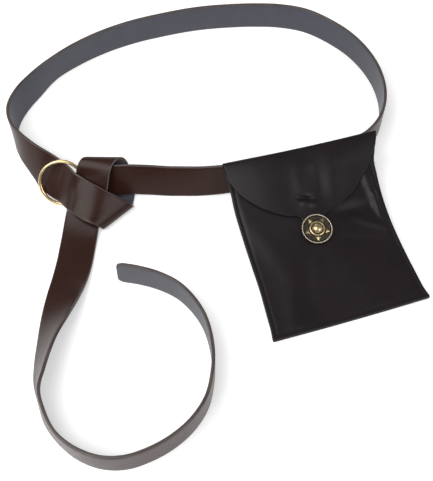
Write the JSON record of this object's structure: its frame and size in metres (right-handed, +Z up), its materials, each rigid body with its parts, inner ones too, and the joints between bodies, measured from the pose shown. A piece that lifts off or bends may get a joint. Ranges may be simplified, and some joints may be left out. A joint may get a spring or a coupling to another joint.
{
  "type": "ring belt with medieval belt pouch",
  "caption": "Leather ring belt knotted round its brass ring and lying in loops, with a flat flap pouch closed by a brass star button.",
  "frame": {"origin": "on the table, under the middle of the whole part's box", "axes": "+Z up from the table, -Y towards the wearer's front and the free end, +X from the ring towards the pouch"},
  "size_m": [0.3576, 0.4394, 0.0418],
  "materials": {
    "strap_leather": "smooth dark brown grain side, grey-blue flesh side",
    "pouch_leather": "soft black-brown nappa, slight sheen",
    "ring_brass": "polished",
    "antique_brass": "antiqued, dark in the hollows"
  },
  "bodies": {
    "root": {"belt_strap": "strap_leather", "belt_ring": "ring_brass", "ring_rivet": "ring_brass", "pouch_back_flap": "pouch_leather", "pouch_front": "pouch_leather", "belt_loop_left": "pouch_leather", "belt_loop_right": "pouch_leather", "concho_button": "antique_brass"}
  },
  "joints": []
}
